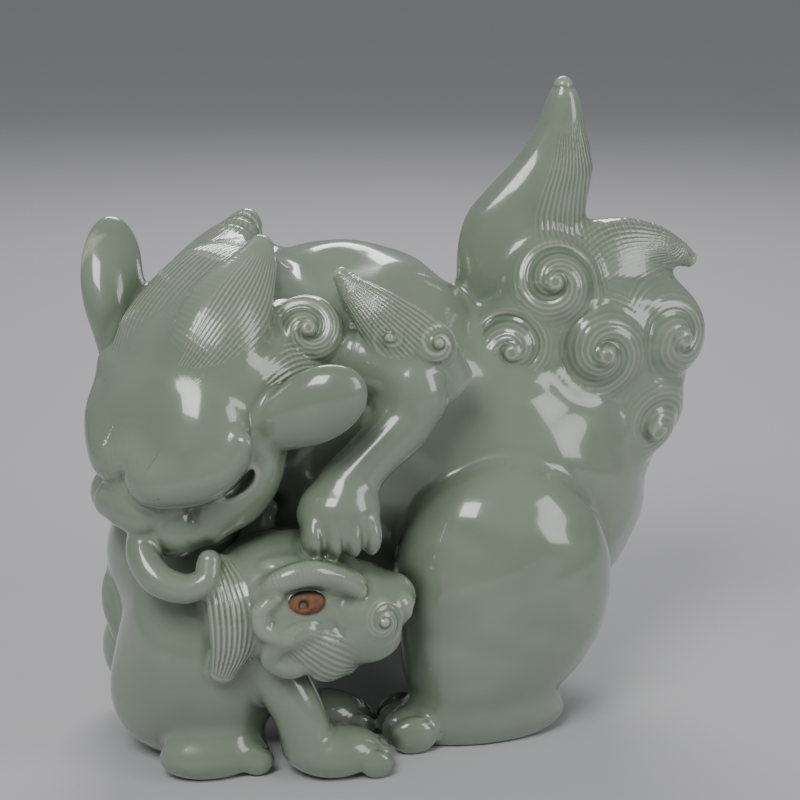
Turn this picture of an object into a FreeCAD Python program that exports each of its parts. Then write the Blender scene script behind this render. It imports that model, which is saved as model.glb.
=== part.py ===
"""Porcelain shishi (foo dog) crouching over its cub: one fired, celadon glazed group.

The clay pieces are modelled apart and luted together, so every piece is a solid of its own
that ends where its neighbour begins.  Units are millimetres.  +X runs from the head to the
tail, +Y to the lion's right, +Z up; the origin is the middle of the resting face.
"""
import os

import FreeCAD
import Part
from FreeCAD import Placement, Rotation, Vector

doc = FreeCAD.newDocument("shishi_and_cub")
sheet = doc.addObject("Spreadsheet::Sheet", "Sizes")

LEFT, RIGHT = -1, 1
SIDES = {"left": LEFT, "right": RIGHT}

# Driving dimensions of the whole group.
OVERALL = {
    "wall": 6.0,            # thickness of the pressed clay wall of the trunk
    "vent_bore": 9.0,       # hole that lets the hollow trunk breathe in the kiln
    "ground_depth": 40.0,   # depth of the block that trims the soles flat
    "ground_span": 400.0,
}
row_count = 0


def put_in_sheet(alias, value):
    """Keep one size in the spreadsheet under its own word."""
    global row_count
    row_count += 1
    sheet.set(f"A{row_count}", alias)
    sheet.set(f"B{row_count}", str(value))
    sheet.setAlias(f"B{row_count}", alias)


for alias, value in OVERALL.items():
    put_in_sheet(alias, value)


def ellipsoid(name, sized_by, placement, inset=""):
    """A whole ellipsoid made of two halves, so that no face of it closes on itself."""
    halves = []
    for side, turn in (("near", 0), ("far", 180)):
        half = doc.addObject("Part::Ellipsoid", f"{name}_{side}")
        half.setExpression("Radius2", f"Sizes.{sized_by}_long / 2{inset}")
        half.setExpression("Radius3", f"Sizes.{sized_by}_wide / 2{inset}")
        half.setExpression("Radius1", f"Sizes.{sized_by}_tall / 2{inset}")
        half.Angle3 = 180
        half.Placement = placement * Placement(Vector(), Rotation(turn, 0, 0))
        halves.append(half)
    return fuse(name, halves)


def egg(name, centre, sizes, yaw=0.0, pitch=0.0, roll=0.0, turn=None):
    """An egg of clay: length, width and height across it, turned and put at its centre."""
    for word, value in zip(("long", "wide", "tall"), sizes):
        put_in_sheet(f"{name}_{word}", value)
    placement = Placement(Vector(*centre), turn or Rotation(yaw, pitch, roll))
    return ellipsoid(name, name, placement)


def coil(name, stations, across):
    """A rolled or pulled strip of clay: elliptical sections lofted along a path.

    Each station is (point, width, depth), the width being measured along `across`.
    """
    points = [Vector(*station[0]) for station in stations]
    sections = []
    for number, (_, width, depth) in enumerate(stations):
        before = points[max(number - 1, 0)]
        after = points[min(number + 1, len(points) - 1)]
        put_in_sheet(f"{name}_width_{number}", width)
        put_in_sheet(f"{name}_depth_{number}", depth)
        section = doc.addObject("Part::Ellipse", f"{name}_section_{number}")
        section.setExpression("MajorRadius", f"Sizes.{name}_width_{number} / 2")
        section.setExpression("MinorRadius", f"Sizes.{name}_depth_{number} / 2")
        turn = Rotation(Vector(*across), Vector(), after - before, "ZXY")
        section.Placement = Placement(points[number], turn)
        sections.append(section)
    loft = doc.addObject("Part::Loft", name)
    loft.Sections = sections
    loft.Solid = True
    return loft


def limb(name, stations):
    """A rolled limb with bends: balls at its stations and cones between them.

    Each station is (point, diameter).
    """
    members = []
    for number, (point, diameter) in enumerate(stations):
        put_in_sheet(f"{name}_across_{number}", diameter)
        ball = doc.addObject("Part::Sphere", f"{name}_ball_{number}")
        ball.setExpression("Radius", f"Sizes.{name}_across_{number} / 2")
        ball.Placement.Base = Vector(*point)
        members.append(ball)
        if number:
            start = Vector(*stations[number - 1][0])
            along = Vector(*point) - start
            run = doc.addObject("Part::Cone", f"{name}_run_{number}")
            run.setExpression("Radius1", f"Sizes.{name}_across_{number - 1} / 2")
            run.setExpression("Radius2", f"Sizes.{name}_across_{number} / 2")
            run.Height = along.Length
            run.Placement = Placement(start, Rotation(Vector(0, 0, 1), along))
            members.append(run)
    return fuse(name, members)


def fuse(name, members):
    """Several lumps pressed into one piece."""
    joined = doc.addObject("Part::MultiFuse", name)
    joined.Shapes = members
    return joined


def cut(name, base, tool):
    """The base with the tool's room taken out of it."""
    trimmed = doc.addObject("Part::Cut", name)
    trimmed.Base = base
    trimmed.Tool = tool
    return trimmed


lumps = {}      # every piece as modelled, before it is fitted to its neighbours
fitted_to = {}  # the neighbours that a piece is trimmed against


def piece(name, members, neighbours=()):
    lumps[name] = members[0] if len(members) == 1 else fuse(f"{name}_lump", members)
    fitted_to[name] = neighbours


TRUNK_EGGS = {"chest": ((-20, 0, 112), (114, 86, 122), 0), "croup": ((37, 0, 83), (122, 92, 116), 28)}


def trunk():
    piece("body_shell", [egg(name, centre, sizes, pitch=pitch)
                         for name, (centre, sizes, pitch) in TRUNK_EGGS.items()])


def hollow_trunk():
    """The cavity of the pressed trunk, with its vent in the belly."""
    cavity = []
    for name, (centre, _, pitch) in TRUNK_EGGS.items():
        placement = Placement(Vector(*centre), Rotation(0, pitch, 0))
        cavity.append(ellipsoid(f"{name}_hollow", name, placement, " - Sizes.wall"))
    vent = doc.addObject("Part::Cylinder", "vent")
    vent.setExpression("Radius", "Sizes.vent_bore / 2")
    vent.setExpression("Height", "Sizes.wall * 8")
    vent.Placement.Base = Vector(37, 9, 5)
    return fuse("trunk_hollow", cavity + [vent])


TOES = 4                # on each paw
HIND_TOE_PITCH = 7.0
HIND_TOE_REACH = 8.0    # the middle toes' lead over the sole's front
TOE_ARCH = 0.25         # how much the outer toes fall back


def hind_legs():
    thighs = {"left": ((30, -44, 54), (80, 50, 92)), "right": ((12, 45, 50), (88, 47, 88))}
    feet = {"left": (-2, -50), "right": (-26, 50)}
    for side, (centre, sizes) in thighs.items():
        piece(f"thigh_{side}", [egg(f"haunch_{side}", centre, sizes)], ("body_shell",))
        toe_x, toe_y = feet[side]
        members = [egg(f"sole_{side}", (toe_x + 22, toe_y, 8), (66, 28, 26))]
        for number in range(TOES):
            aside = HIND_TOE_PITCH * (number - (TOES - 1) / 2)
            ahead = TOE_ARCH * abs(aside) - HIND_TOE_REACH
            members.append(egg(f"hind_toe_{side}_{number}", (toe_x + ahead, toe_y + aside, 6),
                               (16, 8.5, 14)))
        piece(f"hind_foot_{side}", members, (f"thigh_{side}", "body_shell"))


def forelegs():
    piece("arm_left", [limb("arm_left_roll", [((-26, -38, 138), 25), ((-2, -49, 132), 23),
                                              ((-30, -60, 102), 19)])], ("body_shell",))
    members = [egg("paw_left_pad", (-33, -62, 92), (29, 28, 25), pitch=-12)]
    for number in range(TOES):
        members.append(egg(f"fore_toe_left_{number}", (-45 + 7.5 * number, -72 + abs(number - 1.5), 86),
                           (8.5, 13, 14)))
    piece("paw_left", members, ("arm_left", "cub_head"))
    piece("arm_right", [limb("arm_right_roll", [((-48, 29, 106), 29), ((-5, 50, 86), 24),
                                                ((-40, 38, 69), 22), ((-72, 24, 59), 25)])],
          ("body_shell", "thigh_right", "cub_body"))
    members = [egg("paw_right_pad", (-76, 20, 57), (26, 22, 34), yaw=-30)]
    for number in range(TOES):
        members.append(egg(f"fore_toe_right_{number}", (-88 + 4 * number, 14 + 2 * number, 44 + 7 * number),
                           (13, 10, 8)))
    piece("paw_right", members, ("arm_right", "cub_body"))


def elbow_tufts():
    piece("elbow_tuft_left", [
        coil("tuft_left_flame", [((7, -50, 130), 24, 12), ((-3, -52, 144), 26, 12),
                                 ((-16, -48, 156), 20, 10), ((-24, -41, 165), 10, 6),
                                 ((-27, -38, 171), 4, 3)], (1, 0, 0.8)),
        egg("tuft_left_swirl_0", (-15, -49, 149), (14, 10, 14)),
        egg("tuft_left_swirl_1", (1, -53, 148), (14, 10, 14))],
        ("arm_left", "body_shell"))
    piece("elbow_tuft_right", [
        coil("tuft_right_flame", [((-4, 50, 98), 24, 12), ((-8, 51, 110), 25, 12),
                                  ((-16, 49, 121), 20, 10), ((-22, 46, 130), 10, 6),
                                  ((-24, 44, 137), 4, 3)], (1, 0, 0.8)),
        egg("tuft_right_swirl_0", (-15, 52, 113), (14, 10, 14)),
        egg("tuft_right_swirl_1", (0, 54, 111), (14, 10, 14))],
        ("arm_right", "body_shell"))


def flank_curls():
    """The hair behind the right elbow: a combed fringe with four curls under it."""
    piece("flank_fringe", [coil("fringe", [
        ((52, 40, 106), 16, 12), ((40, 43, 119), 18, 14), ((24, 43, 125), 18, 14),
        ((8, 44, 122), 16, 12)], (0, 0.3, 1))], ("body_shell", "elbow_tuft_right"))
    curls = [((36, 47, 92), 28), ((22, 49, 109), 23), ((13, 53, 90), 23), ((47, 43, 108), 19)]
    for number, (centre, across) in enumerate(curls, 1):
        lean = egg(f"flank_boss_{number}", centre, (across, across * 0.62, across))
        earlier = tuple(f"flank_curl_{other}" for other in range(1, number))
        piece(f"flank_curl_{number}", [lean],
              earlier + ("thigh_right", "arm_right", "body_shell", "flank_fringe"))


# The head's own frame: its centre, and unit vectors to its right, to its nose and to its crown.
HEAD = Vector(-75, -42, 129)
HEAD_RIGHT = Vector(-0.62, 0.73, 0.29).normalize()
HEAD_NOSE = Vector(-0.47, -0.05, -0.88).normalize()
HEAD_CROWN = HEAD_RIGHT.cross(HEAD_NOSE).normalize()
HEAD_TURN = Rotation(HEAD_RIGHT, HEAD_NOSE, HEAD_CROWN, "YZX")


def on_head(right, nose, crown):
    return tuple(HEAD + HEAD_RIGHT * right + HEAD_NOSE * nose + HEAD_CROWN * crown)


def head_egg(name, place, sizes):
    return egg(name, on_head(*place), sizes, turn=HEAD_TURN)


def head():
    piece("head_shell", [head_egg("skull", (4, -6, -4), (66, 64, 58)),
                         head_egg("cheek_left", (-23, 16, -4), (27, 42, 30)),
                         head_egg("cheek_right", (23, 16, -4), (27, 42, 30)),
                         egg("neck", (-58, -14, 138), (70, 66, 66))], ("body_shell",))
    piece("forehead", [head_egg("lobe_left", (-14, 13, 10), (38, 38, 37)),
                       head_egg("lobe_right", (14, 13, 10), (38, 38, 37))], ("head_shell",))
    piece("muzzle", [head_egg("snout", (0, 31, 6), (36, 31, 27)),
                     head_egg("lip_left", (-12, 40, 2), (24, 20, 22)),
                     head_egg("lip_right", (12, 40, 2), (24, 20, 22)),
                     head_egg("nose", (0, 39, 15), (20, 14, 12))], ("head_shell", "forehead"))
    piece("lower_jaw", [head_egg("jaw", (0, 25, -17), (42, 38, 17))],
          ("head_shell", "muzzle", "cub_ear_left"))
    for side, sign in SIDES.items():
        piece(f"eye_{side}", [head_egg(f"eyeball_{side}", (sign * 31, 17, 5), (13, 13, 10))],
              ("head_shell", "forehead"))


def ears_and_crown():
    piece("ear_left", [coil("ear_left_coil", [
        ((-62, -60, 121), 12, 9), ((-57, -65, 124), 18, 12), ((-47, -71, 129), 26, 13),
        ((-37, -74, 134), 25, 12), ((-30, -74, 139), 12, 8)], (-0.35, 0, 1))], ("head_shell",))
    piece("ear_right", [coil("ear_right_coil", [
        ((-101, -13, 140), 12, 9), ((-102, -13, 147), 18, 12), ((-101, -8, 159), 23, 13),
        ((-99, -1, 171), 21, 12), ((-98, 4, 180), 10, 8)], (0.83, 0.55, 0))], ("head_shell",))
    piece("crown_tuft_left", [coil("crown_left", [
        ((-84, -60, 143), 8, 6), ((-76, -58, 153), 22, 12), ((-66, -50, 163), 26, 14),
        ((-57, -38, 172), 16, 10), ((-52, -29, 180), 5, 4)], (1, -0.4, -0.6))],
        ("head_shell", "body_shell"))
    piece("crown_tuft_right", [coil("crown_right", [
        ((-88, -14, 155), 8, 6), ((-79, -7, 162), 20, 12), ((-66, 2, 168), 22, 14),
        ((-56, 9, 174), 13, 10), ((-50, 14, 180), 5, 4)], (0.5, -0.8, 0.2))],
        ("head_shell", "body_shell"))
    piece("crown_hair", [coil("crown_locks", [
        ((-95, -38, 157), 30, 10), ((-84, -32, 164), 30, 14), ((-70, -22, 170), 28, 14),
        ((-56, -10, 170), 20, 10)], (-0.6, 0.75, 0))],
        ("head_shell", "crown_tuft_left", "crown_tuft_right", "body_shell"))


def mane():
    piece("mane_left", [limb("mane_left_sweep", [((-64, -57, 132), 13), ((-46, -49, 145), 17)]),
                        egg("mane_left_curl", (-40, -43, 150), (25, 17, 25))],
          ("head_shell", "body_shell", "arm_left"))
    curls = [((-49, 19, 160), 24), ((-63, 24, 143), 28), ((-80, 16, 125), 29), ((-94, 2, 114), 20)]
    for number, (centre, across) in enumerate(curls, 1):
        boss = egg(f"mane_boss_{number}", centre, (across, across * 0.7, across), yaw=-38)
        earlier = tuple(f"mane_right_{other}" for other in range(1, number))
        piece(f"mane_right_{number}", [boss], earlier + ("head_shell", "body_shell"))


TAIL_CURLS = [((55, 19, 158), 26), ((100, 14, 134), 33), ((70, 22, 133), 31), ((40, 20, 136), 26),
              ((90, 14, 106), 33)]


def tail():
    piece("tail_core", [egg("tail_bud", (72, 0, 130), (78, 32, 78), pitch=20)], ("body_shell",))
    piece("tail_plume", [coil("plume", [
        ((47, 0, 148), 32, 24), ((47, 0, 160), 41, 25), ((49, 0, 173), 45, 23),
        ((54, 0, 187), 43, 20), ((61, 0, 200), 30, 16), ((64, 0, 212), 18, 12),
        ((65, 0, 222), 11, 8), ((65, 0, 229), 5, 4)], (1, 0, 0))], ("tail_core", "body_shell"))
    piece("tail_side_flame", [coil("side_flame", [
        ((68, 0, 158), 22, 20), ((84, 0, 166), 21, 18), ((98, 0, 165), 15, 13),
        ((110, 0, 161), 7, 6), ((115, 0, 158), 3, 3)], (0.2, 0, 1))], ("tail_core", "tail_plume"))
    for side, sign in SIDES.items():
        for number, ((x, y, z), across) in enumerate(TAIL_CURLS, 1):
            boss = egg(f"tail_boss_{side}_{number}", (x, sign * y, z), (across, across * 0.8, across))
            earlier = tuple(f"tail_curl_{side}_{other}" for other in range(1, number))
            opposite = (f"tail_curl_left_{number}",) if side == "right" else ()
            piece(f"tail_curl_{side}_{number}", [boss], earlier + opposite + (
                "tail_core", "tail_plume", "tail_side_flame", "body_shell"))


def cub():
    piece("cub_body", [egg("cub_rump", (-79, -15, 66), (58, 59, 61), yaw=7),
                       egg("cub_chest", (-76, -34, 38), (61, 72, 79), yaw=-5, roll=6)])
    piece("cub_head", [egg("cub_skull", (-52, -57, 61), (58, 50, 48), yaw=3, roll=-4),
                       egg("cub_snout", (-28, -60, 56), (34, 39, 33), yaw=-3)], ("cub_body",))
    piece("cub_nose", [egg("cub_nose_tip", (-14, -62, 60), (14, 18, 14))], ("cub_head",))
    for side, y in {"left": -78, "right": -36}.items():
        piece(f"cub_eye_{side}", [egg(f"cub_eyeball_{side}", (-48, y, 68), (13, 8, 9))],
              ("cub_head",))
    piece("cub_ear_left", [limb("cub_ear_band", [((-93, -48, 92), 9), ((-99, -60, 84), 12),
                                                 ((-94, -68, 75), 12), ((-84, -70, 73), 11),
                                                 ((-79, -69, 80), 9)])],
          ("cub_head", "cub_body"))
    piece("cub_ear_right", [limb("cub_ear_far", [((-58, -42, 79), 11), ((-54, -36, 86), 10)])],
          ("cub_head",))
    piece("cub_mane", [limb("cub_mane_lock", [((-75, -64, 74), 13), ((-72, -73, 60), 15),
                                              ((-74, -72, 44), 11)])],
          ("cub_head", "cub_body", "cub_ear_left"))
    piece("cub_cheek_tuft", [egg("cub_cheek", (-53, -77, 52), (26, 12, 16), pitch=20)],
          ("cub_head", "cub_mane"))
    for side, y in {"left": -68, "right": -38}.items():
        members = [limb(f"cub_foreleg_{side}_roll", [((-58, y + 6, 42), 19), ((-46, y, 12), 18)]),
                   egg(f"cub_paw_{side}", (-34, y - 1, 8), (34, 22, 19))]
        piece(f"cub_foreleg_{side}", members, ("cub_head", "cub_body", "hind_foot_left"))
    for side, y in {"left": -60, "right": 8}.items():
        members = [egg(f"cub_thigh_{side}", (-88, y * 0.8, 22), (44, 24, 40)),
                   egg(f"cub_hind_paw_{side}", (-78, y, 7), (34, 18, 16))]
        piece(f"cub_hind_leg_{side}", members, ("cub_body",))
    piece("cub_tail", [limb("cub_tail_lock", [((-101, -12, 37), 14), ((-105, -13, 47), 11),
                                              ((-107, -13, 58), 5)])], ("cub_body",))


for build_pieces in (trunk, hind_legs, forelegs, elbow_tufts, flank_curls, head, ears_and_crown,
                     mane, tail, cub):
    build_pieces()

# The soles and the cub's underside are wiped flat on the table before firing.
table = doc.addObject("Part::Box", "table")
table.setExpression("Length", "Sizes.ground_span")
table.setExpression("Width", "Sizes.ground_span")
table.setExpression("Height", "Sizes.ground_depth")
table.Placement.Base = Vector(-OVERALL["ground_span"] / 2, -OVERALL["ground_span"] / 2,
                              -OVERALL["ground_depth"])
ON_THE_GROUND = {"hind_foot_left", "hind_foot_right", "cub_body", "cub_foreleg_left",
                 "cub_foreleg_right", "cub_hind_leg_left", "cub_hind_leg_right"}

# The pieces are placed from the trunk's middle; this brings the whole group over the origin.
TO_ORIGIN = Placement(Vector(-0.82, 7.26, 0), Rotation())
nodes = {}
for name, lump in lumps.items():
    tools = [lumps[neighbour] for neighbour in fitted_to[name]]
    if name in ON_THE_GROUND:
        tools.append(table)
    if name == "body_shell":
        tools.append(hollow_trunk())
    solid = lump
    for number, tool in enumerate(tools):
        solid = cut(f"{name}_fit_{number}", solid, tool)
    solid.Label = name
    solid.Placement = TO_ORIGIN
    nodes[name] = solid

doc.recompute()
for item in doc.Objects:
    if "Invalid" in item.State or "Error" in item.State:
        raise RuntimeError(f"{item.Name} did not compute")
for name, solid in nodes.items():
    shape = solid.Shape
    if shape.isNull() or not shape.isValid():
        raise RuntimeError(f"{name} has no valid shape")

os.makedirs("parts", exist_ok=True)
for name, solid in nodes.items():
    solid.Shape.exportStep(f"parts/{name}.step")
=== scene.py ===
"""Celadon shishi crouching over its cub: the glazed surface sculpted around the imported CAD."""
import math
from concurrent.futures import ThreadPoolExecutor

import bpy
import numpy as np
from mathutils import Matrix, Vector


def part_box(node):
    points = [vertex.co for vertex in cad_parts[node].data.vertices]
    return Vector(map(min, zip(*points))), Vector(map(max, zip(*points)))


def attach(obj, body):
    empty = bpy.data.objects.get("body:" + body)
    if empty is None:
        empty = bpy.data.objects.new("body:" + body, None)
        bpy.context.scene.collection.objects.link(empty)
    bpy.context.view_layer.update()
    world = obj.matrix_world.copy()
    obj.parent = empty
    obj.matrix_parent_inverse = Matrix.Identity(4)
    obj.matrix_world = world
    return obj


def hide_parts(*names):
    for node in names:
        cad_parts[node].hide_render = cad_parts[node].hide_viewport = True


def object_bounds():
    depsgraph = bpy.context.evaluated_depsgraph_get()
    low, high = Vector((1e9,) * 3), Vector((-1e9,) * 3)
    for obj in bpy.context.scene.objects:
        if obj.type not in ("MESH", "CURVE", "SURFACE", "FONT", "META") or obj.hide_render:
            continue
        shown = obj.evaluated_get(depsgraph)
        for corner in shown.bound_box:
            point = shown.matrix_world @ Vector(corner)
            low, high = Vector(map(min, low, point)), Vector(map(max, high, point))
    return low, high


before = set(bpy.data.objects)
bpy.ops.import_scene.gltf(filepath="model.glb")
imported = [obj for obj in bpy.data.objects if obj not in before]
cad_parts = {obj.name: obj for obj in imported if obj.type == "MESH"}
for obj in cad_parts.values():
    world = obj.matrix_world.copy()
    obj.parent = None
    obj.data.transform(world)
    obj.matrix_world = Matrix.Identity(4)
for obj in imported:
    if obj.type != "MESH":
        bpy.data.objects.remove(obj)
CAD_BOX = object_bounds()

MM = 0.001
LEFT, RIGHT = -1, 1
SIDES = {"left": LEFT, "right": RIGHT}

# The sculpt is measured in millimetres from the trunk: its middle line, its chest end, the table.
CHEST_END = -77.0
trunk_low, trunk_high = (np.array(corner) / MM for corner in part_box("body_shell"))
MIDDLE = np.array([trunk_low[0] - CHEST_END, (trunk_low[1] + trunk_high[1]) / 2, 0.0])

SINK = 2.0          # how fast a piece dives under its neighbour where their glaze meets
TABLE_EDGE = 1.2    # rounding where the soles are wiped flat on the table
REACH = 9.0         # beyond this distance a piece has no effect on another
ROOM = 1.5          # space kept round a lump for the grooves and knobs on it
TINY = 1e-6         # keeps a division from failing


def unit(vector):
    vector = np.asarray(vector, float)
    return vector / np.linalg.norm(vector)


def single(values):
    """As single precision, which is exact enough for clay and twice as quick."""
    return np.asarray(values, np.float32)


def length(rows):
    return np.sqrt(np.einsum("ij,ij->i", rows, rows))


def rise(low, high, values):
    """0 below low, 1 above high, smooth between; falls instead where low is above high."""
    part = np.clip((values - low) / (high - low), 0, 1)
    return part * part * (3 - 2 * part)


def turned(yaw=0.0, pitch=0.0, roll=0.0):
    """Columns are the turned X, Y and Z axes; angles in degrees."""
    (cy, sy), (cp, sp), (cr, sr) = ((math.cos(math.radians(a)), math.sin(math.radians(a)))
                                    for a in (yaw, pitch, roll))
    about_z = np.array([[cy, -sy, 0], [sy, cy, 0], [0, 0, 1]])
    about_y = np.array([[cp, 0, sp], [0, 1, 0], [-sp, 0, cp]])
    about_x = np.array([[1, 0, 0], [0, cr, -sr], [0, sr, cr]])
    return about_z @ about_y @ about_x


def merge(first, second, soft):
    """The smaller of two distances, rounded where they are within `soft` of each other."""
    near = np.maximum(soft - np.abs(first - second), 0) / soft
    return np.minimum(first, second) - near * near * soft * 0.25


def to_shell(scaled, half):
    """Distance to an ellipsoid of half sizes `half`, from places scaled down by them."""
    outer = length(scaled) + TINY
    return outer * (outer - 1) / (length(scaled / half) + TINY)


def joined(lumps, points, soft):
    total = lumps[0].distance(points)
    for lump in lumps[1:]:
        total = merge(total, lump.distance(points), soft)
    return total


def box_round(lumps, room=0.0):
    return (np.min([lump.low for lump in lumps], axis=0) - room,
            np.max([lump.high for lump in lumps], axis=0) + room)


class Egg:
    """A lump of clay: length, width and height across it, turned, at its centre."""

    def __init__(self, centre, sizes, yaw=0.0, pitch=0.0, roll=0.0, turn=None):
        self.centre, self.half = single(centre), single(sizes) / 2
        self.turn = single(turned(yaw, pitch, roll) if turn is None else turn)
        span = np.sqrt(((self.turn * self.half) ** 2).sum(axis=1))
        self.low, self.high = self.centre - span, self.centre + span

    def distance(self, points):
        local = (points - self.centre) @ self.turn / self.half
        outer = length(local) + TINY
        inner = length(local / self.half) + TINY / self.half.max()
        return outer * (outer - 1) / inner


def smooth_path(values, steps):
    """A Catmull-Rom curve through rows of (x, y, z, width, depth)."""
    values = np.asarray(values, float)
    before, after = (2 * end - following
                     for end, following in ((values[0], values[1]), (values[-1], values[-2])))
    ends = np.vstack([before, values, after])
    rows = []
    for number in range(len(values) - 1):
        p0, p1, p2, p3 = ends[number:number + 4]
        for t in np.arange(steps) / steps:
            rows.append(0.5 * (2 * p1 + (p2 - p0) * t + (2 * p0 - 5 * p1 + 4 * p2 - p3) * t * t
                               + (3 * p1 - p0 - 3 * p2 + p3) * t ** 3))
    return np.array(rows + [values[-1]])


class Strand:
    """A strip of clay swept along a smooth curve.  Stations are (point, width, depth), the
    width being measured along `across`.  The sections of an upright strip stay level."""

    THINNEST = 0.4      # half the least width
    OVERLAP = 0.6       # share of the gap to the next spot that a spot answers for

    def __init__(self, stations, across=(0, 0, 1), steps=8, upright=False):
        path = smooth_path([(*point, wide, deep) for point, wide, deep in stations], steps)
        spots, along = path[:, :3], np.gradient(path[:, :3], axis=0)
        frames = []
        for run in along:
            run = np.array([0, 0, 1.0]) if upright else unit(run)
            out = unit(np.cross(run, across))
            frames.append(np.column_stack([np.cross(out, run), out, run]))
        frames, half = np.array(frames), np.maximum(path[:, [3, 4, 4]] / 2, self.THINNEST)
        self.spots, self.along, self.frames, self.half = (
            single(rows) for rows in (spots, along, frames, half))
        self.frames_grow, self.half_grow = (
            single(np.gradient(rows, axis=0)) for rows in (frames, half))
        self.measure = single([0, 0, 1] if upright else [1, 1, 1])
        self.far = ((self.spots * self.measure) ** 2).sum(axis=1)
        self.run_square = np.maximum((self.along ** 2 * self.measure).sum(axis=1), TINY)
        room = path[:, 3:].max() / 2
        self.low, self.high = spots.min(0) - room, spots.max(0) + room

    def place(self, points):
        """Distance, share of the way along, and position across and out of the strip."""
        nearest = np.argmin(self.far - 2 * (points * self.measure) @ self.spots.T, axis=1)
        away, along = points - self.spots[nearest], self.along[nearest]
        slide = np.einsum("ij,ij->i", away * self.measure, along) / self.run_square[nearest]
        last = len(self.spots) - 1
        slide = np.clip(slide, np.where(nearest == 0, 0, -self.OVERLAP),
                        np.where(nearest == last, 0, self.OVERLAP))
        slide = single(slide)[:, None]
        away = away - slide * along
        frames = self.frames[nearest] + slide[:, :, None] * self.frames_grow[nearest]
        half = self.half[nearest] + slide * self.half_grow[nearest]
        scaled = np.einsum("ij,ijk->ik", away, frames) / half
        return to_shell(scaled, half), (nearest + slide[:, 0]) / last, scaled[:, 0]

    def distance(self, points):
        return self.place(points)[0]


class Combed(Strand):
    """A strand scored lengthwise with a comb: `lines` grooves from edge to edge."""

    def __init__(self, stations, across=(0, 0, 1), lines=6, depth=0.18, edges=(-1.2, 1.2),
                 ends=(0.0, 1.0), bend=0.0, steps=8, upright=False):
        super().__init__(stations, across, steps, upright)
        self.lines, self.depth, self.edges, self.ends, self.bend = lines, depth, edges, ends, bend

    def distance(self, points):
        best, along, side = self.place(points)
        side = side + self.bend * (along - 0.5)
        shown = (rise(self.edges[0], self.edges[0] + 0.3, side)
                 * rise(self.edges[1], self.edges[1] - 0.3, side)
                 * rise(self.ends[0] - 0.02, self.ends[0] + 0.08, along)
                 * rise(self.ends[1] + 0.02, self.ends[1] - 0.12, along))
        return best - self.depth * shown * (np.cos(math.pi * self.lines * side) - 0.4)


class Curl:
    """A snail of hair: a broad combed band winding over a dome into a small knob."""

    KNOB = 1.1          # how far the middle stands out

    def __init__(self, centre, across, axis, flat=0.7, turns=1.2, hand=1, start=0.0, lines=7,
                 valley=2.1, comb=0.055):
        self.centre, self.radius = single(centre), across / 2
        axis = unit(axis)
        side = unit(np.cross((0.05, 0.1, 1), axis))
        self.turn = single(np.column_stack([side, np.cross(axis, side), axis]))
        self.half = single([self.radius, self.radius, self.radius * flat])
        self.hand, self.start, self.lines = hand, start, lines
        self.pitch = self.radius / turns
        self.valley, self.comb = valley, comb
        span = self.radius + ROOM
        self.low, self.high = self.centre - span, self.centre + span

    def distance(self, points):
        local = (points - self.centre) @ self.turn
        from_axis = np.hypot(local[:, 0], local[:, 1])
        angle = np.arctan2(local[:, 1], local[:, 0]) * (self.hand / (2 * math.pi)) + self.start
        phase = from_axis / self.pitch - angle
        groove = np.exp(-2.0 * np.sin(math.pi * phase) ** 2)
        off_knob = rise(0.10, 0.30, from_axis / self.radius)
        height = (self.comb * np.cos(2 * math.pi * self.lines * phase) * (0.3 + 0.7 * off_knob)
                  - self.valley * groove * off_knob + self.KNOB * (1 - off_knob))
        shown = rise(1.15, 0.8, from_axis / self.radius) * rise(-1.5, 1.5, local[:, 2])
        return to_shell(local / self.half, self.half) - height * shown


class Ripple:
    """Lumps pressed together, with shallow modelling left by the potter's thumbs."""

    def __init__(self, lumps, soft, height, span):
        self.lumps, self.soft, self.height, self.span = lumps, soft, height, span
        self.low, self.high = box_round(lumps)

    def distance(self, points):
        x, y, z = (points / self.span * 2 * math.pi).T
        wave = (np.sin(x + 1.3 * np.sin(z)) * np.sin(0.9 * z + 0.7 * y)
                + 0.5 * np.sin(1.7 * y - 1.1 * x))
        return joined(self.lumps, points, self.soft) - self.height * wave


class Piece:
    """One luted piece: its lumps, the dents pressed into it and how it meets the others.

    `inner` rounds the joints between its own lumps and `soft` those with the pieces before
    it; `grain` is the mesh's step; `comb` gives the height of strokes at any place."""

    DENT_EDGE = 1.2     # rounding at a dent's edge

    def __init__(self, name, lumps, soft=4.0, inner=5.0, grain=0.9, dents=(),
                 comb=None, finish="celadon_glaze"):
        self.name, self.lumps, self.soft, self.inner = name, lumps, soft, inner
        self.grain, self.dents, self.comb = grain, dents, comb
        self.finish = finish
        self.low, self.high = box_round(lumps, ROOM + (soft + inner) / 4)

    def distance(self, points):
        total = joined(self.lumps, points, self.inner)
        if self.comb is not None:
            total = total - self.comb(points)
        for dent in self.dents:
            total = -merge(-total, dent.distance(points), self.DENT_EDGE)
        return total

    def is_combed(self):
        return self.comb is not None or any(isinstance(lump, (Combed, Curl)) for lump in self.lumps)

    def touches(self, low, high):
        return bool(np.all(self.low - REACH < high) and np.all(self.high + REACH > low))


pieces = []


def clay(name, *lumps, **how):
    pieces.append(Piece(name, list(lumps), **how))


TOES = 4
CUB_HIND_TOES = 3


# ---- the big forms --------------------------------------------------------------------------
def trunk():
    vent = Strand([((37, 9, height), 9, 9) for height in (14, 22, 32)], (1, 0, 0))
    clay("body_shell", Ripple([
        Egg((-20, 0, 112), (114, 86, 122)), Egg((37, 0, 83), (122, 92, 116), pitch=28),
        Egg((-28, -24, 132), (58, 40, 60)), Egg((-44, 22, 120), (58, 44, 60))], 12, 0.7, 47),
        soft=7, grain=1.3, dents=[vent])


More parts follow.
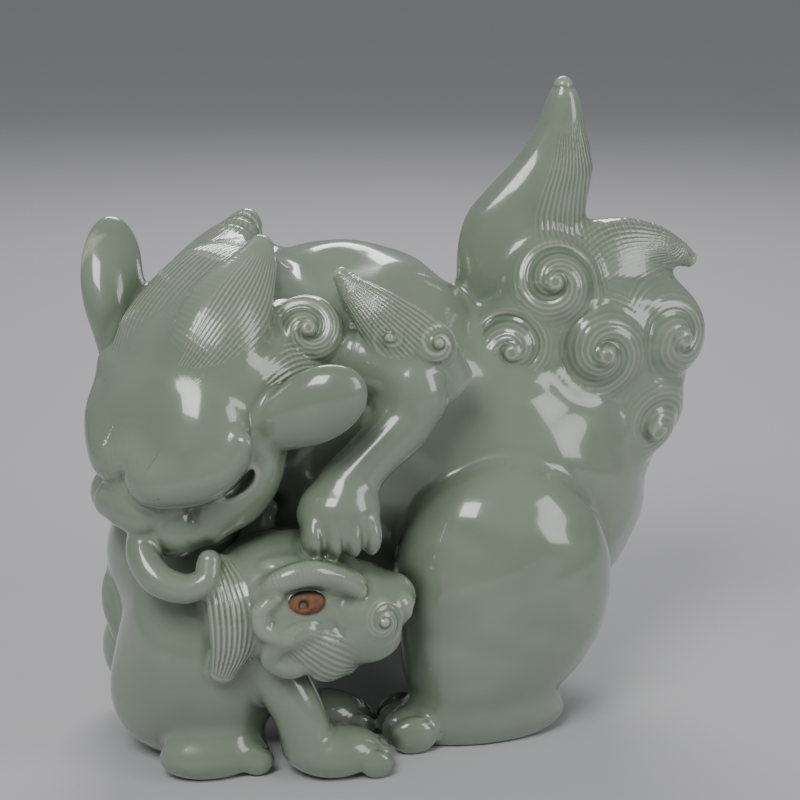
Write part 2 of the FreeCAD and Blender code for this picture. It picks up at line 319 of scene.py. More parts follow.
def hind_legs():
    clay("thigh_left", Ripple([Egg((30, -44, 54), (80, 50, 92)),
                               Egg((18, -49, 24), (46, 33, 50))], 12, 0.4, 40),
         soft=5, grain=1.3)
    clay("thigh_right", Ripple([Egg((12, 45, 50), (88, 47, 88)),
                                Egg((-2, 49, 24), (48, 33, 50))], 12, 0.4, 40),
         soft=5, grain=1.3)
    for side, (toe_x, toe_y) in {"left": (-2, -50), "right": (-26, 50)}.items():
        lumps = [Egg((toe_x + 22, toe_y, 8), (64, 27, 25))]
        for number in range(TOES):
            aside = -10.5 + 7 * number
            ahead = -8 + abs(aside) * 0.25
            lumps.append(Egg((toe_x + ahead + 1, toe_y + aside, 6.5), (17, 8.6, 14)))
        clay(f"hind_foot_{side}", *lumps, soft=5, inner=2.4, grain=0.8)


def forelegs():
    clay("arm_left", Strand([((-30, -32, 141), 27, 27), ((-15, -43, 139), 26, 26),
                             ((-6, -48, 134), 23, 23)], (0, 0, 1)),
         Egg((-4, -49.5, 131), (23, 23, 24)),
         Strand([((-4, -51.5, 127), 20, 20), ((-10, -54, 119), 20, 20),
                 ((-22, -58, 109), 18, 18), ((-30, -60, 101), 20, 20)], (0, 1, 0)),
         soft=6)
    toes = [Egg((-33, -62, 93), (29, 26, 25), pitch=-12)]
    for number in range(TOES):
        spread = number - (TOES - 1) / 2
        toes.append(Egg((-33.5 + 6.6 * spread, -70.5 + abs(spread), 87), (7.6, 13, 15), roll=-20))
    clay("paw_left", *toes, soft=3, inner=2.2, grain=0.6)
    clay("arm_right", Strand([((-50, 26, 112), 30, 30), ((-28, 38, 102), 29, 29),
                              ((-12, 46, 92), 25, 25)], (0, 0, 1)),
         Egg((-8, 48, 84), (26, 24, 28)),
         Strand([((-12, 47, 78), 22, 22), ((-24, 44, 73), 22, 22), ((-38, 39, 69), 22, 22),
                 ((-56, 31, 63), 24, 24), ((-71, 24, 59), 25, 25)], (0, 0, 1)), soft=3.5)
    grip = [Egg((-76, 20, 57), (26, 22, 34), yaw=-30)]
    for number in range(TOES):
        grip.append(Egg((-88 + 4 * number, 14 + 2 * number, 44 + 7 * number), (14, 9, 6.6)))
    for row, column in ((0, 0), (0, 1), (0, 2), (1, 0), (1, 1), (1, 2), (2, 0), (2, 1)):
        pimple = (-81 + 5.5 * row + 1.5 * column, 27.5 + 1.6 * row, 48 + 7.5 * column + 2 * row)
        grip.append(Egg(pimple, (6, 5, 6)))
    clay("paw_right", *grip, soft=2.5, inner=1.2, grain=0.6)


# ---- hair on the body -----------------------------------------------------------------------
def elbow_tufts():
    flame = [((7, -50, 130), 22, 10), ((-3, -52, 144), 25, 11), ((-15, -49, 156), 19, 9),
             ((-23, -42, 164), 11, 7), ((-27, -38, 169), 6, 5)]
    clay("elbow_tuft_left", Combed(flame, (1, 0, 0.8), lines=15, depth=0.1, ends=(0.25, 1)),
         Curl((-13, -51, 149), 15, (-0.2, -1, 0.35), hand=1, lines=3, valley=1.1, comb=0.08),
         Curl((2, -54, 147), 15, (0.1, -1, 0.3), hand=-1, lines=3, valley=1.1, comb=0.08),
         soft=2.2, inner=1.5, grain=0.5)
    flame = [((-4, 50, 98), 22, 11), ((-8, 51, 110), 25, 11), ((-16, 49, 121), 19, 9),
             ((-21, 46, 129), 11, 7), ((-24, 44, 136), 6, 5)]
    clay("elbow_tuft_right", Combed(flame, (1, 0, 0.8), lines=15, depth=0.1, ends=(0.25, 1)),
         Curl((-15, 53, 112), 15, (-0.2, 1, 0.2), hand=-1, lines=3, valley=1.1, comb=0.08),
         Curl((0, 54, 111), 15, (0.1, 1, 0.2), hand=1, lines=3, valley=1.1, comb=0.08),
         soft=2.2, inner=1.5, grain=0.5)


def flank_hair():
    arch = Strand([((53, 38, 105), 19, 10), ((41, 40, 119), 22, 10), ((24, 41, 126), 22, 10),
                   ((7, 42, 122), 19, 10)], (0, 0.3, 1))

    def strokes(points):
        along = arch.place(points)[1]
        return 0.3 * (np.sqrt(np.abs(np.sin(math.pi * 17 * along))) - 0.75)

    clay("flank_fringe", arch, soft=5, grain=0.5, comb=strokes)
    curls = [((36, 48, 92), 29, 1), ((22, 50, 109), 23, -1), ((13, 54, 90), 23, 1),
             ((47, 44, 108), 20, -1)]
    for number, (centre, across, hand) in enumerate(curls, 1):
        clay(f"flank_curl_{number}", Curl(centre, across, (0.1, 1, 0.25), 0.62, hand=hand,
                                          start=0.2 * number), soft=4, grain=0.5)


# ---- the head -------------------------------------------------------------------------------
HEAD = np.array([-75.0, -42.0, 129.0])
HEAD_RIGHT = unit((-0.62, 0.73, 0.29))
HEAD_NOSE = np.array([-0.47, -0.05, -0.88])
HEAD_NOSE = unit(HEAD_NOSE - HEAD_RIGHT * (HEAD_NOSE @ HEAD_RIGHT))
HEAD_CROWN = np.cross(HEAD_RIGHT, HEAD_NOSE)
HEAD_TURN = np.column_stack([HEAD_RIGHT, HEAD_NOSE, HEAD_CROWN])


def on_head(right, nose, crown):
    return HEAD + HEAD_TURN @ np.array([right, nose, crown])


def face(place, sizes, tip=0.0, lean=0.0):
    """An egg in the head's frame, tipped about its right-left axis and leant about the nose."""
    return Egg(on_head(*place), sizes, turn=HEAD_TURN @ turned(0, lean, tip))


def head():
    clay("head_shell", face((4, -6, -4), (66, 64, 58)), face((-23, 16, -4), (27, 42, 30)),
         face((23, 16, -4), (27, 42, 30)), Egg((-58, -14, 138), (70, 66, 66)),
         soft=4, inner=8, grain=0.8,
         dents=[face((side * 25, 16, 6.5), (20, 17, 8), tip=25) for side in (LEFT, RIGHT)])
    brow = [((side * 31, 3, 15), (side * 29, 11, 13), (side * 22, 21, 15), (side * 9, 28, 18))
            for side in (LEFT, RIGHT)]
    brow = [on_head(*place) for place in (*brow[0], (0, 25, 20), *brow[1][::-1])]
    sizes = [(5, 6), (9, 9), (13, 13), (19, 18), (13, 13), (19, 18), (13, 13), (9, 9), (5, 6)]
    clay("forehead", face((0, 3, 9), (52, 44, 38)), face((-13, 12, 9), (34, 38, 35)),
         face((13, 12, 9), (34, 38, 35)),
         Strand([(point, *size) for point, size in zip(brow, sizes)], HEAD_CROWN),
         soft=1.8, inner=7, grain=0.5)
    nostrils = [face((side * 5, 48, 12), (5, 5, 4.5)) for side in (LEFT, RIGHT)]
    clay("muzzle", face((0, 31, 7), (35, 32, 27)), face((-12, 42, 1.5), (23, 20, 21)),
         face((12, 42, 1.5), (23, 20, 21)), face((0, 42, 14.5), (19, 14, 12)),
         face((-7.5, 43, 13.5), (10, 11, 10)), face((7.5, 43, 13.5), (10, 11, 10)),
         face((-23, 31, -2), (14, 24, 15)), face((23, 31, -2), (14, 24, 15)),
         soft=2.5, inner=3.5, grain=0.55, dents=nostrils)
    clay("lower_jaw", face((0, 25, -17), (42, 38, 17)), face((0, 38, -16), (28, 13, 13)),
         soft=2.5, inner=4, grain=0.7)
    for side, sign in SIDES.items():
        clay(f"eye_{side}", face((sign * 22, 13, 4), (15, 12, 8)), soft=1.2, grain=0.5)


def paddle(root, tip, across, sizes):
    """An egg lying between two points, its width as near as can be to `across`."""
    root, tip = single(root), single(tip)
    along = unit(tip - root)
    out = unit(np.cross(along, across))
    return Egg((root + tip) / 2, (np.linalg.norm(tip - root), *sizes),
               turn=np.column_stack([along, np.cross(out, along), out]))


def ears_and_crown():
    wide = (-0.35, 0, 1)
    clay("ear_left", paddle((-68, -58, 117), (-36, -73, 136), wide, (18, 12)),
         paddle((-53, -67, 126), (-27, -75, 142), wide, (24, 13.5)), soft=3, inner=9, grain=0.6)
    wide = (0.83, 0.55, 0)
    clay("ear_right", paddle((-100, -19, 132), (-101, -3, 172), wide, (20, 13)),
         paddle((-103, -12, 149), (-99, 6, 184), wide, (24, 13)), soft=3, inner=7, grain=0.6,
         dents=[Egg((-105.8, -3, 160), (14, 3.6, 34), yaw=33)])
    clay("crown_tuft_left", Combed([((-85, -56, 140), 10, 6), ((-76, -57, 152), 22, 11),
                                    ((-66, -50, 163), 26, 13), ((-57, -38, 172), 17, 10),
                                    ((-52, -29, 179), 8, 6)], (1, -0.4, -0.6), lines=17,
                                   depth=0.075, edges=(-0.6, 1.3), ends=(0, 0.9)), soft=7, grain=0.45)
    clay("crown_tuft_right", Combed([((-88, -14, 155), 8, 6), ((-79, -7, 162), 20, 11),
                                     ((-66, 2, 168), 22, 13), ((-56, 9, 174), 14, 9),
                                     ((-51, 14, 180), 7, 6)], (0.5, -0.8, 0.2), lines=14,
                                    depth=0.08, ends=(0, 0.9)), soft=6, grain=0.5)
    clay("crown_hair", Combed([((-97, -40, 141), 22, 5), ((-88, -35, 155.5), 30, 11),
                               ((-70, -22, 169), 28, 14), ((-54, -10, 171), 20, 9)],
                              (-0.6, 0.75, 0), lines=13, depth=0.11), soft=9, grain=0.5)


def mane():
    clay("mane_left", Combed([((-70, -60, 127), 10, 8), ((-62, -58, 134), 17, 12),
                              ((-50, -53, 140), 20, 13), ((-40, -47, 139), 14, 10)],
                             (-0.6, 0, 1), lines=11, depth=0.12),
         Curl((-40, -44, 151), 26, (-0.1, -1, 0.45), 0.62, hand=1, start=0.4),
         soft=3, inner=2, grain=0.5)
    root = (-92, -14, 146)
    curls = [((-49, 19, 160), 25, 1), ((-63, 24, 143), 29, 1), ((-80, 16, 125), 30, 1),
             ((-94, 2, 114), 21, 1)]
    for number, (centre, across, hand) in enumerate(curls, 1):
        centre = np.array(centre, float)
        out = unit((centre[0] + 45, centre[1] + 25, (centre[2] - 118) * 0.8))
        rim = centre - out * 2 + np.array([-0.3, -0.1, 0.62]) * across
        lock = Combed([(root, 12, 8), ((np.array(root) * 0.5 + rim * 0.5) - out * 1.5, 24, 12),
                       (rim - out, 22, 11), (centre + np.array([-0.42, 0, 0.1]) * across, 12, 6)],
                      np.cross(out, rim - centre), lines=13, depth=0.09)
        clay(f"mane_right_{number}", Curl(centre, across + 2, out, 0.7, hand=hand, start=0.15 * number),
             lock, soft=7, inner=4, grain=0.45)


# ---- the tail -------------------------------------------------------------------------------
TAIL_CURLS = [((55, 19, 157), 31, 1), ((99, 14, 135), 37, -1), ((71, 22, 133), 35, 1),
              ((41, 20, 135), 29, -1), ((91, 14, 105), 37, 1)]


def tail():
    def rings(points):
        """Comb lines running round whichever curl is nearest."""
        nearest = np.full(len(points), 1e3, np.float32)
        for (x, _, z), across, _ in TAIL_CURLS:
            nearest = np.minimum(nearest, np.hypot(points[:, 0] - x, points[:, 2] - z) - across / 2)
        return 0.1 * np.cos(2 * math.pi * nearest / 1.9) * rise(0, 1.5, nearest) * rise(7, 4, nearest)

    lenses = [egg for sign in SIDES.values() for egg in (
        Egg((83, sign * 16, 150), (18, 12, 9), pitch=10),
        Egg((80, sign * 14, 110), (34, 14, 20), pitch=12),
        Egg((54, sign * 14, 120), (22, 14, 14), pitch=40), Egg((86, sign * 16, 121), (14, 12, 10)))]
    clay("tail_core", Egg((73, 0, 131), (82, 39, 82), pitch=20), *lenses, soft=5, inner=6,
         grain=0.6, comb=rings)
    clay("tail_plume", Combed([((44, 0, 146), 34, 24), ((45, 0, 160), 42, 25),
                               ((47.5, 0, 171), 46, 23), ((50, 0, 181), 44.5, 20),
                               ((54, 0, 189), 39, 19), ((58, 0, 196), 33, 17),
                               ((60.5, 0, 203), 25.5, 15), ((62, 0, 211), 18.5, 13.5),
                               ((62.6, 0, 217), 14.8, 12.2), ((62.8, 0, 221.5), 11.8, 10.6),
                               ((62.8, 0, 224), 9.6, 9.2), ((62.7, 0, 226), 7, 7)], (1, 0, 0),
                              lines=21, depth=0.08, edges=(-0.35, 1.3), ends=(0.0, 0.7), bend=0.9,
                              upright=True),
         soft=8, grain=0.5)
    clay("tail_side_flame", Combed([((66, 0, 152), 30, 24), ((82, 0, 163), 28, 20),
                                    ((97, 0, 165), 20, 14), ((108, 0, 163), 11, 8),
                                    ((114, 0, 160), 6, 5)], (0.2, 0, 1), lines=17, depth=0.09),
         soft=7, grain=0.5)
    for side, sign in SIDES.items():
        for number, ((x, y, z), across, hand) in enumerate(TAIL_CURLS, 1):
            out = unit(((x - 72) * 0.35, sign * 26, (z - 130) * 0.3))
            clay(f"tail_curl_{side}_{number}",
                 Curl((x, sign * (y - 2), z), across, out, 0.74, hand=hand * sign, start=0.17 * number),
                 soft=8, grain=0.43)


# ---- the cub --------------------------------------------------------------------------------
def cub():
    clay("cub_body", Egg((-79, -15, 66), (58, 59, 61), yaw=7),
         Egg((-76, -34, 38), (61, 72, 79), yaw=-5, roll=6), soft=5, inner=7, grain=1.0)
    clay("cub_head", Egg((-52, -57, 61), (58, 50, 48), yaw=3, roll=-4),
         Egg((-28, -60, 56), (36, 40, 34), yaw=-3), Egg((-44, -72, 75), (36, 13, 12), yaw=-4, pitch=12),
         Egg((-44, -44, 75), (36, 13, 12), yaw=4, pitch=12), Egg((-26, -73, 51), (24, 14, 18)),
         Egg((-54, -76, 58), (20, 12, 14)),
         Strand([((-62, -76, 71), 5, 5), ((-56, -79, 76), 8, 7), ((-47, -79, 78), 9, 8),
                 ((-37, -77, 75), 8, 7), ((-29, -75, 69), 5, 5)], (0, 0, 1)),
         Strand([((-58, -80, 71), 4, 4), ((-63, -80, 66), 6, 6), ((-62, -81, 60), 6, 6),
                 ((-55, -81.5, 57), 6, 6), ((-47, -80.5, 59), 4, 4)], (0, 1, 0)),
         Combed([((-55, -77, 60), 8, 8), ((-47, -79, 53), 15, 8), ((-38, -76, 46), 19, 8),
                 ((-31, -71, 42), 12, 6)], (-0.6, 0, -0.8), lines=9, depth=0.1),
         soft=3, inner=2.6, grain=0.5)
    clay("cub_nose", Egg((-15, -62, 61), (17, 20, 16)), Egg((-15, -70, 60), (13, 10, 12)),
         Egg((-15, -55, 60), (13, 10, 12)),
         Curl((-22, -75, 58), 15, (0.25, -1, 0.1), 0.6, hand=-1, lines=4, valley=1.3),
         soft=3, inner=2, grain=0.45,
         dents=[Egg((-8.5, -70, 59), (6, 5, 4.5)), Egg((-8.5, -56, 59), (6, 5, 4.5))])
    for side, (y, sign) in {"left": (-79, LEFT), "right": (-36, RIGHT)}.items():
        clay(f"cub_eye_{side}", Egg((-48, y, 68), (13.5, 7.5, 9)), soft=0.6, grain=0.4,
             dents=[Egg((-49, y + sign * 4, 68.3), (3.6, 5, 3.6))], finish="iron_biscuit")
    clay("cub_ear_left", Strand([((-93, -48, 92), 9, 9), ((-98, -55, 88), 11, 10),
                                 ((-99, -61, 82), 12, 11), ((-95, -67, 76), 12, 11),
                                 ((-87, -70, 73), 11, 10), ((-80, -70, 75), 10, 9),
                                 ((-78, -68, 81), 8, 8)], (0, 1, 0)), soft=2.5, grain=0.6)
    clay("cub_ear_right", Strand([((-60, -44, 77), 11, 11), ((-57, -40, 82), 12, 10),
                                  ((-53, -36, 87), 7, 7)], (0, 1, 0)), soft=3, grain=0.7)
    clay("cub_mane", Combed([((-75, -62, 76), 12, 10), ((-72, -72, 66), 16, 12),
                             ((-72, -74, 55), 15, 12), ((-75, -72, 43), 9, 8)], (1, 0, 0),
                            lines=9, depth=0.15), soft=3, grain=0.45)
    clay("cub_cheek_tuft", Strand([((-44, -77, 58), 6, 6), ((-50, -80, 58), 8, 7),
                                   ((-58, -79, 54), 9, 8), ((-59, -78, 48), 8, 8),
                                   ((-52, -78, 45), 8, 8), ((-45, -77, 48), 5, 5)], (0, 1, 0)),
         Egg((-52, -76, 51), (22, 10, 14)), soft=2, inner=1.4, grain=0.5)
    for side, y in {"left": -68, "right": -38}.items():
        lumps = [Strand([((-60, y + 7, 44), 20, 20), ((-50, y + 2, 26), 18, 18),
                         ((-45, y, 11), 18, 18)], (0, 1, 0)),
                 Egg((-36, y - 1, 8), (32, 21, 18))]
        for number in range(TOES):
            aside = -7.5 + 5 * number
            lumps.append(Egg((-21 - abs(aside) * 0.3, y - 1 + aside, 5), (11, 5.4, 10)))
        clay(f"cub_foreleg_{side}", *lumps, soft=3.5, inner=1.6, grain=0.7)
    for side, y in {"left": -60, "right": 8}.items():
        lumps = [Egg((-84, y * 0.6 - 3, 24), (52, 34, 48)), Egg((-78, y, 7), (36, 19, 17))]
        for number in range(CUB_HIND_TOES):
            lumps.append(Egg((-63, y - 5.4 + 5.4 * number, 5), (10, 5.6, 10)))
        clay(f"cub_hind_leg_{side}", *lumps, soft=9, inner=2.4, grain=0.8)
    clay("cub_tail", Strand([((-101, -12, 37), 14, 14), ((-105, -13, 47), 11, 11),
                             ((-107, -13, 55), 6, 6), ((-106, -13, 60), 3, 3)], (0, 1, 0)),
         soft=3, grain=0.7)


# ---- from distances to meshes ---------------------------------------------------------------
def fields(piece, near, points):
    """Distance to the common glazed surface, and to this piece's own closed skin."""
    points = single(points)
    common = np.full(len(points), REACH, np.float32)
    others = common.copy()
    for other in near:
        if other is piece:
            own = piece.distance(points)
            common = merge(common, own, piece.soft)
            continue
        close = (points > other.low - REACH) & (points < other.high + REACH)
        close = np.flatnonzero(np.all(close, 1))
        if len(close):
            distance = other.distance(points[close])
            others[close] = np.minimum(others[close], distance)
            common[close] = merge(common[close], distance, other.soft)
    below = np.maximum(own - others, 0)
    height = points[:, 2]
    return tuple(-merge(-skin, height, TABLE_EDGE)
                 for skin in (common, common + below * below / SINK))


CORNERS = [np.array(c) for c in np.ndindex(2, 2, 2)]
EDGES = [(a, b) for a in CORNERS for b in CORNERS if (b - a).sum() == 1 and (b - a).min() == 0]
BLOCK = 3           # fine steps in one coarse step
WORKERS = 4


def sampled(piece, near):
    """The piece's distances on a grid, exact only near its surface."""
    step = piece.grain * 1.0
    low = piece.low - 2 * step
    blocks = np.ceil((piece.high + 2 * step - low) / (step * BLOCK)).astype(int) + 1
    centres = low + (np.indices(blocks).reshape(3, -1).T + 0.5) * step * BLOCK - step / 2
    coarse = fields(piece, near, centres)[1].reshape(blocks)
    wanted = np.abs(coarse) < step * BLOCK * 1.1 + 0.8
    values = coarse.repeat(BLOCK, 0).repeat(BLOCK, 1).repeat(BLOCK, 2)
    chosen = np.argwhere(wanted.repeat(BLOCK, 0).repeat(BLOCK, 1).repeat(BLOCK, 2))
    values[tuple(chosen.T)] = fields(piece, near, low + chosen * step)[1]
    return values, low, step


def nets(values, low, step):
    """Naive surface nets: one vertex in each cell that the surface crosses."""
    inside = values < 0
    cells = tuple(n - 1 for n in values.shape)
    full = np.zeros(cells, np.int8)
    for corner in CORNERS:
        full += inside[tuple(slice(c, c + n) for c, n in zip(corner, cells))]
    chosen = np.argwhere((full > 0) & (full < 8))
    index = np.full(cells, -1)
    index[tuple(chosen.T)] = np.arange(len(chosen))
    total, count = np.zeros((len(chosen), 3)), np.zeros(len(chosen))
    for a, b in EDGES:
        first, second = (values[tuple((chosen + end).T)] for end in (a, b))
        crossed = (first < 0) != (second < 0)
        share = np.where(crossed, first / np.where(crossed, first - second, 1), 0)
        total += np.where(crossed[:, None], a + share[:, None] * (b - a), 0)
        count += crossed
    vertices = low + (chosen + total / count[:, None]) * step
    quads = []
    for axis in range(3):
        one, two = [other for other in range(3) if other != axis]
        here = np.moveaxis(inside, axis, 0)
        change = np.argwhere(here[:-1] != here[1:])
        enters = here[tuple(change.T)]
        where = np.zeros((len(change), 3), int)
        where[:, axis], where[:, one], where[:, two] = change.T
        ring = []
        for back_one, back_two in ((0, 0), (1, 0), (1, 1), (0, 1)):
            cell = where.copy()
            cell[:, one] -= back_one
            cell[:, two] -= back_two
            ring.append(index[tuple(cell.T)])
        ring = np.column_stack(ring)
        if axis == 1:
            enters = ~enters
        ring[~enters] = ring[~enters][:, ::-1]
        quads.append(ring)
    return vertices, np.vstack(quads)


TETRA = np.array([(1, -1, -1), (-1, -1, 1), (-1, 1, -1), (1, 1, 1)], float)
BURIED = -1.6       # deeper than this under the common surface nothing is ever seen
CREST = 0.14        # height over the surroundings that counts as a full crest
CREST_SPAN = 0.6    # how far aside the surroundings are felt


def slope(piece, near, points, reach):
    """Value and gradient of the common and of the own field."""
    value, grad = np.zeros((2, len(points))), np.zeros((2, len(points), 3))
    for corner in TETRA:
        for number, field in enumerate(fields(piece, near, points + corner * reach)):
            value[number] += field / 4
            grad[number] += field[:, None] * corner / (4 * reach)
    return value, grad


def each_unit(rows):
    return rows / np.maximum(length(rows), TINY)[:, None]


def modelled(piece):
    """Vertices, faces and normals of one piece, and the masks of its hollows, ridges and crests, which
    colour the glaze and carry painted shade and painted highlight.

    The vertices move onto the closed skin.  Normals and glaze are read off the common
    surface above them, so that they run on from piece to piece."""
    near = [other for other in pieces if other.touches(piece.low, piece.high)]
    vertices, quads = nets(*sampled(piece, near))
    seen = np.flatnonzero(fields(piece, near, vertices)[0] > BURIED)
    value, grad = slope(piece, near, vertices[seen], piece.grain * 0.35)
    steep = np.maximum(np.einsum("ij,ij->i", grad[1], grad[1]), 0.2)
    shift = np.clip(-value[1] / steep, -piece.grain, piece.grain)
    vertices[seen] += grad[1] * shift[:, None]
    level = value[0] + np.einsum("ij,ij->i", grad[0], grad[1]) * shift
    common, own = (each_unit(rows) for rows in grad)
    under = rise(0.2, 1.2, -level)[:, None]
    turned_out = each_unit(common * (1 - under) + own * under)
    steepness = np.maximum(length(grad[0]), 0.3)
    here = vertices[seen] - common * (level / steepness)[:, None]

    def openness(reach, sign):
        """How closed in the glaze is outwards (1), or how thin the clay is inwards (-1)."""
        inward = sign * fields(piece, near, here + sign * turned_out * reach)[0] / steepness / reach
        return np.clip(1 - inward, 0, 1)

    def relief():
        """How far the glaze stands above its surroundings: the crests that a comb leaves."""
        aside = each_unit(np.cross(turned_out, (0.3, 0.5, 0.8)))
        total = np.zeros(len(here))
        for way in (aside, -aside, np.cross(turned_out, aside), np.cross(aside, turned_out)):
            total += fields(piece, near, here + way * CREST_SPAN)[0] / 4
        return np.clip(0.5 + total / steepness / CREST, 0, 1)

    normals = np.zeros((len(vertices), 3))
    hollow, ridge, crest = np.zeros((3, len(vertices)))
    normals[seen] = turned_out
    # Hollows take glaze pooling plus painted shade; ridges and crests take pale breaks plus painted
    # highlight.
    hollow[seen] = (openness(1.2, 1) + openness(4.0, 1)) / 2
    ridge[seen] = openness(1.6, -1) * rise(-0.9, -0.3, level)
    crest[seen] = relief() if piece.is_combed() else 0.5
    return vertices, quads, normals, hollow, ridge, crest


def into_blender(piece, made, material):
    vertices, quads, normals, hollow, ridge, crest = made
    mesh = bpy.data.meshes.new(piece.name + "_sculpt")
    mesh.vertices.add(len(vertices))
    mesh.vertices.foreach_set("co", ((vertices + MIDDLE) * MM).astype(np.float32).ravel())
    mesh.loops.add(quads.size)
    mesh.loops.foreach_set("vertex_index", quads.astype(np.int32).ravel())
    mesh.polygons.add(len(quads))
    mesh.polygons.foreach_set("loop_start", np.arange(0, quads.size, 4, dtype=np.int32))
    mesh.update(calc_edges=True)
    mesh.polygons.foreach_set("use_smooth", np.ones(len(quads), bool))
    for word, values in (("hollow", hollow), ("ridge", ridge), ("crest", crest)):
        layer = mesh.attributes.new(word, "FLOAT", "POINT")
        layer.data.foreach_set("value", values.astype(np.float32))
    mesh.normals_split_custom_set_from_vertices(normals.astype(np.float32))
    mesh.materials.append(material)
    thing = bpy.data.objects.new("glazed_" + piece.name, mesh)
    bpy.context.scene.collection.objects.link(thing)
    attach(thing, "root")
    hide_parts(piece.name)


# ---- materials ------------------------------------------------------------------------------
class Nodes:
    """Shorthand for a material's node tree."""

    def __init__(self, name):
        self.material = bpy.data.materials.new(name)
        self.material.use_nodes = True
        self.tree = self.material.node_tree
        self.shader = self.tree.nodes["Principled BSDF"]

    def add(self, kind, **inputs):
        node = self.tree.nodes.new("ShaderNode" + kind)
        for key, value in inputs.items():
            key = key.replace("_", " ") if isinstance(key, str) else key
            self.put(node.inputs[key], value)
        return node

    def put(self, socket, value):
        if isinstance(value, bpy.types.NodeSocket):
            self.tree.links.new(value, socket)
        else:
            socket.default_value = value

    def attribute(self, word):
        node = self.tree.nodes.new("ShaderNodeAttribute")
        node.attribute_name = word
        return node.outputs["Fac"]

    def noise(self, scale, detail=3.0, roughness=0.55):
        place = self.tree.nodes.new("ShaderNodeTexCoord")
        return self.add("TexNoise", Vector=place.outputs["Object"], Scale=scale, Detail=detail,
                        Roughness=roughness).outputs["Fac"]

    def span(self, value, low, high, to_low=0.0, to_high=1.0):
        node = self.add("MapRange", Value=value, From_Min=low, From_Max=high, To_Min=to_low,
                        To_Max=to_high)
        node.clamp = True
        return node.outputs["Result"]

    def mix(self, share, first, second):
        node = self.tree.nodes.new("ShaderNodeMix")
        node.data_type = "RGBA"
        for number, value in ((0, share), (6, first), (7, second)):
            self.put(node.inputs[number], value)
        return node.outputs[2]

    def bump(self, height, strength, distance, under=None):
        node = self.add("Bump", Height=height, Strength=strength, Distance=distance)
        if under is not None:
            self.put(node.inputs["Normal"], under)
        return node.outputs["Normal"]


def srgb(red, green, blue):
    linear = [((v / 255 + 0.055) / 1.055) ** 2.4 for v in (red, green, blue)]
    return (*linear, 1.0)


def celadon():
    """Grey-green glaze: it pools dark green in the hollows and breaks pale on the ridges, with painted
    shade added in the hollows and grooves and painted highlight on the ridges and crests.
    """
    n = Nodes("celadon_glaze_look")
    cloud, fine = n.noise(22, 3), n.noise(160, 2)
    base = n.mix(n.span(cloud, 0.35, 0.65), srgb(126, 142, 121), srgb(139, 152, 133))
    # Hollows: dark green where the glaze pools, deepened by painted shade.
    pooled_and_shaded = n.mix(n.span(n.attribute("hollow"), 0.08, 0.6), base, srgb(88, 106, 82))
    # Comb crests: pale where the glaze thins, lightened further as a painted highlight.
    combed = n.mix(n.span(n.attribute("crest"), 0.56, 0.95, 0, 0.75), pooled_and_shaded, srgb(186, 190, 170))
    # Comb grooves: dark green where the glaze pools, deepened by painted shade.
    grooved = n.mix(n.span(n.attribute("crest"), 0.44, 0.1, 0, 0.7), combed, srgb(92, 110, 86))
    # Ridges: pale where the glaze breaks, lightened further as a painted highlight.
    broken_and_highlit = n.mix(n.span(n.attribute("ridge"), 0.18, 0.7, 0, 0.85), grooved, srgb(188, 190, 170))
    tips = n.mix(n.span(n.attribute("ridge"), 0.85, 1.0, 0, 0.4), broken_and_highlit, srgb(180, 156, 118))
    speck = n.add("TexVoronoi", Scale=95.0)
    place = n.tree.nodes.new("ShaderNodeTexCoord")
    n.put(speck.inputs["Vector"], place.outputs["Object"])
    spots = n.span(speck.outputs["Distance"], 0.035, 0.06, 1.0, 0.0)
    rare = n.span(n.noise(31, 1), 0.62, 0.66)
    both = n.add("Math")
    both.operation = "MULTIPLY"
    n.put(both.inputs[0], spots)
    n.put(both.inputs[1], rare)
    colour = n.mix(both.outputs[0], tips, srgb(74, 66, 48))
    n.put(n.shader.inputs["Base Color"], colour)
    n.put(n.shader.inputs["Roughness"], n.span(fine, 0.3, 0.7, 0.16, 0.27))
    n.put(n.shader.inputs["IOR"], 1.52)
    n.put(n.shader.inputs["Coat Weight"], 1.0)
    n.put(n.shader.inputs["Coat Roughness"], 0.05)
    n.put(n.shader.inputs["Subsurface Weight"], 0.12)
    n.put(n.shader.inputs["Subsurface Scale"], 0.003)
    n.put(n.shader.inputs["Subsurface Radius"], (0.8, 1.0, 0.7))
    peel = n.bump(n.noise(240, 2), 0.12, 0.0003)
    n.put(n.shader.inputs["Normal"], n.bump(n.noise(38, 2), 0.12, 0.0012, peel))
    return n.material


def biscuit():
    """Unglazed clay burnt iron brown, with painted shade near black in its hollows."""
    n = Nodes("iron_biscuit_look")
    cloud = n.noise(420, 4, 0.7)
    base = n.mix(n.span(cloud, 0.3, 0.7), srgb(92, 58, 38), srgb(150, 104, 72))
    # Painted shade: the clay goes near black in its hollows, darkest in the pupil dents.
    n.put(n.shader.inputs["Base Color"], n.mix(n.span(n.attribute("hollow"), 0.1, 0.6), base,
                                               srgb(26, 18, 14)))
    n.put(n.shader.inputs["Roughness"], 0.6)
    n.put(n.shader.inputs["Normal"], n.bump(n.noise(900, 3), 0.4, 0.0004))
    return n.material


# ---- studio ---------------------------------------------------------------------------------
def soft_box(name, place, target, width, height, power):
    light = bpy.data.lights.new(name, "AREA")
    light.shape, light.size, light.size_y, light.energy = "RECTANGLE", width, height, power
    lamp = bpy.data.objects.new(name, light)
    lamp.location = place
    lamp.rotation_euler = (Vector(target) - Vector(place)).to_track_quat("-Z", "Y").to_euler()
    bpy.context.scene.collection.objects.link(lamp)


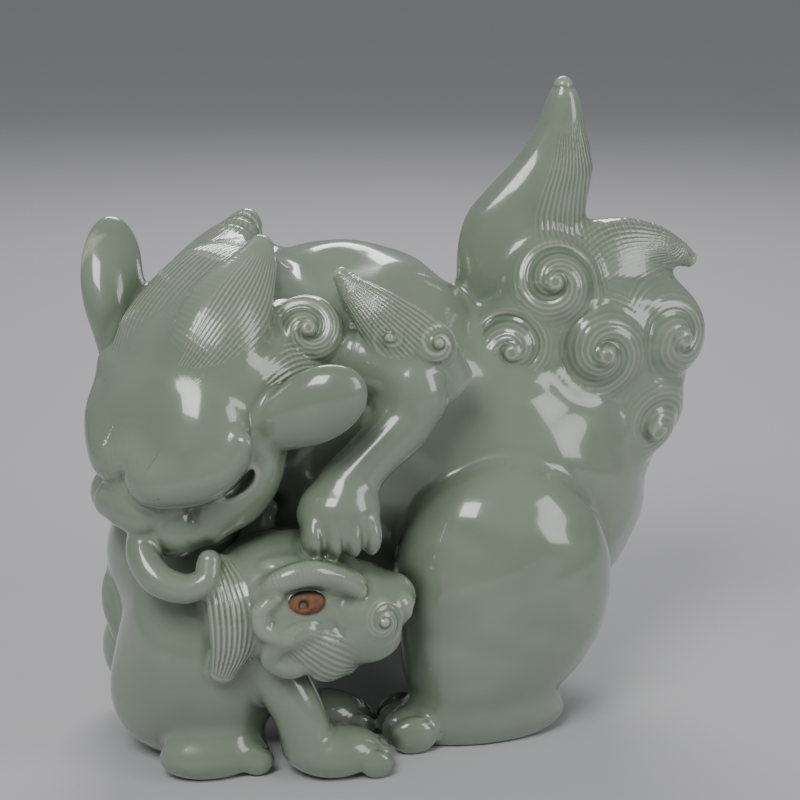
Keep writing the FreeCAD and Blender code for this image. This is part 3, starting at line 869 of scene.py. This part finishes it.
# Distances and sizes in the studio are in diagonals of the group's box, from its middle.
LOW, HIGH = (Vector(corner) for corner in CAD_BOX)
CENTRE, DIAGONAL = (LOW + HIGH) / 2, (HIGH - LOW).length
LAMPS = {"key": ((-1.4, -2.0, 2.6), 1.5, 1.5, 9.0),     # place, width, height, watts
         "fill": ((2.4, -1.8, 1.2), 1.1, 1.8, 3.2),
         "back": ((0.6, 2.6, 2.2), 1.8, 1.1, 6.0)}
FLOOR_HALF = 14
AZIMUTH, ELEVATION = math.radians(-13), math.radians(16)    # of the camera, from -Y
LENS, SENSOR = 85.0, 36.0
STAND_BACK = 1.92


def studio():
    half, level = DIAGONAL * FLOOR_HALF, LOW[2]
    floor_mesh = bpy.data.meshes.new("floor")
    corners = [(-half, -half, level), (half, -half, level), (half, half, level), (-half, half, level)]
    floor_mesh.from_pydata(corners, [], [(0, 1, 2, 3)])
    floor = bpy.data.objects.new("floor", floor_mesh)
    bpy.context.scene.collection.objects.link(floor)
    paper = Nodes("floor_paper")
    paper.put(paper.shader.inputs["Base Color"], srgb(196, 195, 198))
    paper.put(paper.shader.inputs["Roughness"], 0.6)
    floor_mesh.materials.append(paper.material)
    world = bpy.data.worlds.new("studio")
    bpy.context.scene.world = world
    world.use_nodes = True
    world.node_tree.nodes["Background"].inputs["Color"].default_value = (0.55, 0.56, 0.58, 1)
    world.node_tree.nodes["Background"].inputs["Strength"].default_value = 0.45
    for name, (place, width, height, watts) in LAMPS.items():
        soft_box(name, CENTRE + Vector(place) * DIAGONAL, CENTRE, DIAGONAL * width,
                 DIAGONAL * height, watts)


def camera():
    back = Vector((math.sin(AZIMUTH) * math.cos(ELEVATION),
                   -math.cos(AZIMUTH) * math.cos(ELEVATION), math.sin(ELEVATION)))
    data = bpy.data.cameras.new("camera")
    data.lens, data.sensor_width = LENS, SENSOR
    data.clip_end = 50
    eye = bpy.data.objects.new("camera", data)
    bpy.context.scene.collection.objects.link(eye)
    eye.rotation_euler = back.to_track_quat("Z", "Y").to_euler()
    eye.location = CENTRE + back * DIAGONAL * STAND_BACK
    bpy.context.scene.camera = eye


for make in (trunk, hind_legs, forelegs, elbow_tufts, flank_hair, head, ears_and_crown, mane,
             tail, cub):
    make()
looks = {"celadon_glaze": celadon(), "iron_biscuit": biscuit()}
with ThreadPoolExecutor(WORKERS) as team:
    for piece, made in zip(pieces, team.map(modelled, pieces)):
        into_blender(piece, made, looks[piece.finish])
studio()
camera()
